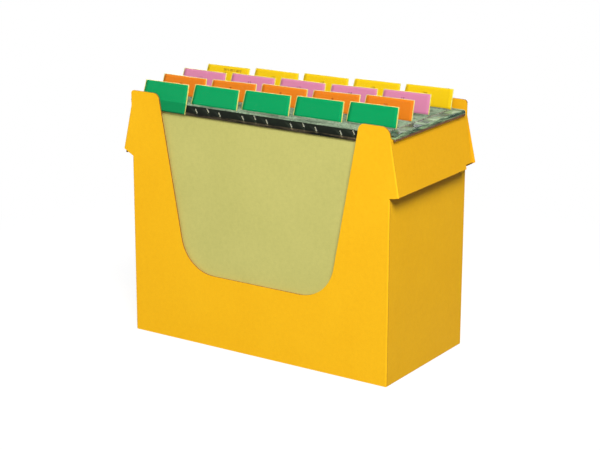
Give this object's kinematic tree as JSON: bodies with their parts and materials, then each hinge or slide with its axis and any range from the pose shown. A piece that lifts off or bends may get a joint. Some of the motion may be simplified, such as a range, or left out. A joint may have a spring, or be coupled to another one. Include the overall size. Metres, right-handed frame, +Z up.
{
  "type": "hanging file box",
  "caption": "Board desk carton with slanted roll-over side flaps and a deep front cut-out, holding tabbed hanging folders on its side rails.",
  "frame": {"origin": "on the surface that the box stands on, under the middle of its footprint", "axes": "+X to the right along the folders, +Y from the front panel to the back, +Z up"},
  "size_m": [0.3456, 0.158, 0.282],
  "materials": {
    "carton_board": "matte",
    "folder_card": "matte",
    "tab_green": "satin",
    "tab_orange": "satin",
    "tab_pink": "satin",
    "tab_yellow": "satin"
  },
  "bodies": {
    "carton": {"front_panel": "carton_board", "back_panel": "carton_board", "side_wall_left": "carton_board", "side_wall_right": "carton_board", "side_flap_left": "carton_board", "side_flap_right": "carton_board", "bottom_flap_front": "carton_board", "bottom_flap_back": "carton_board", "bottom_flap_left": "carton_board", "bottom_flap_right": "carton_board"},
    "hanging_folder_01": {"folder_01": "folder_card", "tab_01": "tab_green"},
    "hanging_folder_02": {"folder_02": "folder_card", "tab_02": "tab_green"},
    "hanging_folder_03": {"folder_03": "folder_card", "tab_03": "tab_green"},
    "hanging_folder_04": {"folder_04": "folder_card", "tab_04": "tab_green"},
    "hanging_folder_05": {"folder_05": "folder_card", "tab_05": "tab_green"},
    "hanging_folder_06": {"folder_06": "folder_card", "tab_06": "tab_orange"},
    "hanging_folder_07": {"folder_07": "folder_card", "tab_07": "tab_orange"},
    "hanging_folder_08": {"folder_08": "folder_card", "tab_08": "tab_orange"},
    "hanging_folder_09": {"folder_09": "folder_card", "tab_09": "tab_orange"},
    "hanging_folder_10": {"folder_10": "folder_card", "tab_10": "tab_orange"},
    "hanging_folder_11": {"folder_11": "folder_card", "tab_11": "tab_pink"},
    "hanging_folder_12": {"folder_12": "folder_card", "tab_12": "tab_pink"},
    "hanging_folder_13": {"folder_13": "folder_card", "tab_13": "tab_pink"},
    "hanging_folder_14": {"folder_14": "folder_card", "tab_14": "tab_pink"},
    "hanging_folder_15": {"folder_15": "folder_card", "tab_15": "tab_pink"},
    "hanging_folder_16": {"folder_16": "folder_card", "tab_16": "tab_yellow"},
    "hanging_folder_17": {"folder_17": "folder_card", "tab_17": "tab_yellow"},
    "hanging_folder_18": {"folder_18": "folder_card", "tab_18": "tab_yellow"},
    "hanging_folder_19": {"folder_19": "folder_card", "tab_19": "tab_yellow"},
    "hanging_folder_20": {"folder_20": "folder_card", "tab_20": "tab_yellow"}
  },
  "joints": [
    {"name": "folder_01_lift", "type": "slide", "parent": "carton", "child": "hanging_folder_01", "axis": [0, 0, 1], "range_m": [0, 0.26]},
    {"name": "folder_02_lift", "type": "slide", "parent": "carton", "child": "hanging_folder_02", "axis": [0, 0, 1], "range_m": [0, 0.26]},
    {"name": "folder_03_lift", "type": "slide", "parent": "carton", "child": "hanging_folder_03", "axis": [0, 0, 1], "range_m": [0, 0.26]},
    {"name": "folder_04_lift", "type": "slide", "parent": "carton", "child": "hanging_folder_04", "axis": [0, 0, 1], "range_m": [0, 0.26]},
    {"name": "folder_05_lift", "type": "slide", "parent": "carton", "child": "hanging_folder_05", "axis": [0, 0, 1], "range_m": [0, 0.26]},
    {"name": "folder_06_lift", "type": "slide", "parent": "carton", "child": "hanging_folder_06", "axis": [0, 0, 1], "range_m": [0, 0.26]},
    {"name": "folder_07_lift", "type": "slide", "parent": "carton", "child": "hanging_folder_07", "axis": [0, 0, 1], "range_m": [0, 0.26]},
    {"name": "folder_08_lift", "type": "slide", "parent": "carton", "child": "hanging_folder_08", "axis": [0, 0, 1], "range_m": [0, 0.26]},
    {"name": "folder_09_lift", "type": "slide", "parent": "carton", "child": "hanging_folder_09", "axis": [0, 0, 1], "range_m": [0, 0.26]},
    {"name": "folder_10_lift", "type": "slide", "parent": "carton", "child": "hanging_folder_10", "axis": [0, 0, 1], "range_m": [0, 0.26]},
    {"name": "folder_11_lift", "type": "slide", "parent": "carton", "child": "hanging_folder_11", "axis": [0, 0, 1], "range_m": [0, 0.26]},
    {"name": "folder_12_lift", "type": "slide", "parent": "carton", "child": "hanging_folder_12", "axis": [0, 0, 1], "range_m": [0, 0.26]},
    {"name": "folder_13_lift", "type": "slide", "parent": "carton", "child": "hanging_folder_13", "axis": [0, 0, 1], "range_m": [0, 0.26]},
    {"name": "folder_14_lift", "type": "slide", "parent": "carton", "child": "hanging_folder_14", "axis": [0, 0, 1], "range_m": [0, 0.26]},
    {"name": "folder_15_lift", "type": "slide", "parent": "carton", "child": "hanging_folder_15", "axis": [0, 0, 1], "range_m": [0, 0.26]},
    {"name": "folder_16_lift", "type": "slide", "parent": "carton", "child": "hanging_folder_16", "axis": [0, 0, 1], "range_m": [0, 0.26]},
    {"name": "folder_17_lift", "type": "slide", "parent": "carton", "child": "hanging_folder_17", "axis": [0, 0, 1], "range_m": [0, 0.26]},
    {"name": "folder_18_lift", "type": "slide", "parent": "carton", "child": "hanging_folder_18", "axis": [0, 0, 1], "range_m": [0, 0.26]},
    {"name": "folder_19_lift", "type": "slide", "parent": "carton", "child": "hanging_folder_19", "axis": [0, 0, 1], "range_m": [0, 0.26]},
    {"name": "folder_20_lift", "type": "slide", "parent": "carton", "child": "hanging_folder_20", "axis": [0, 0, 1], "range_m": [0, 0.26]}
  ]
}
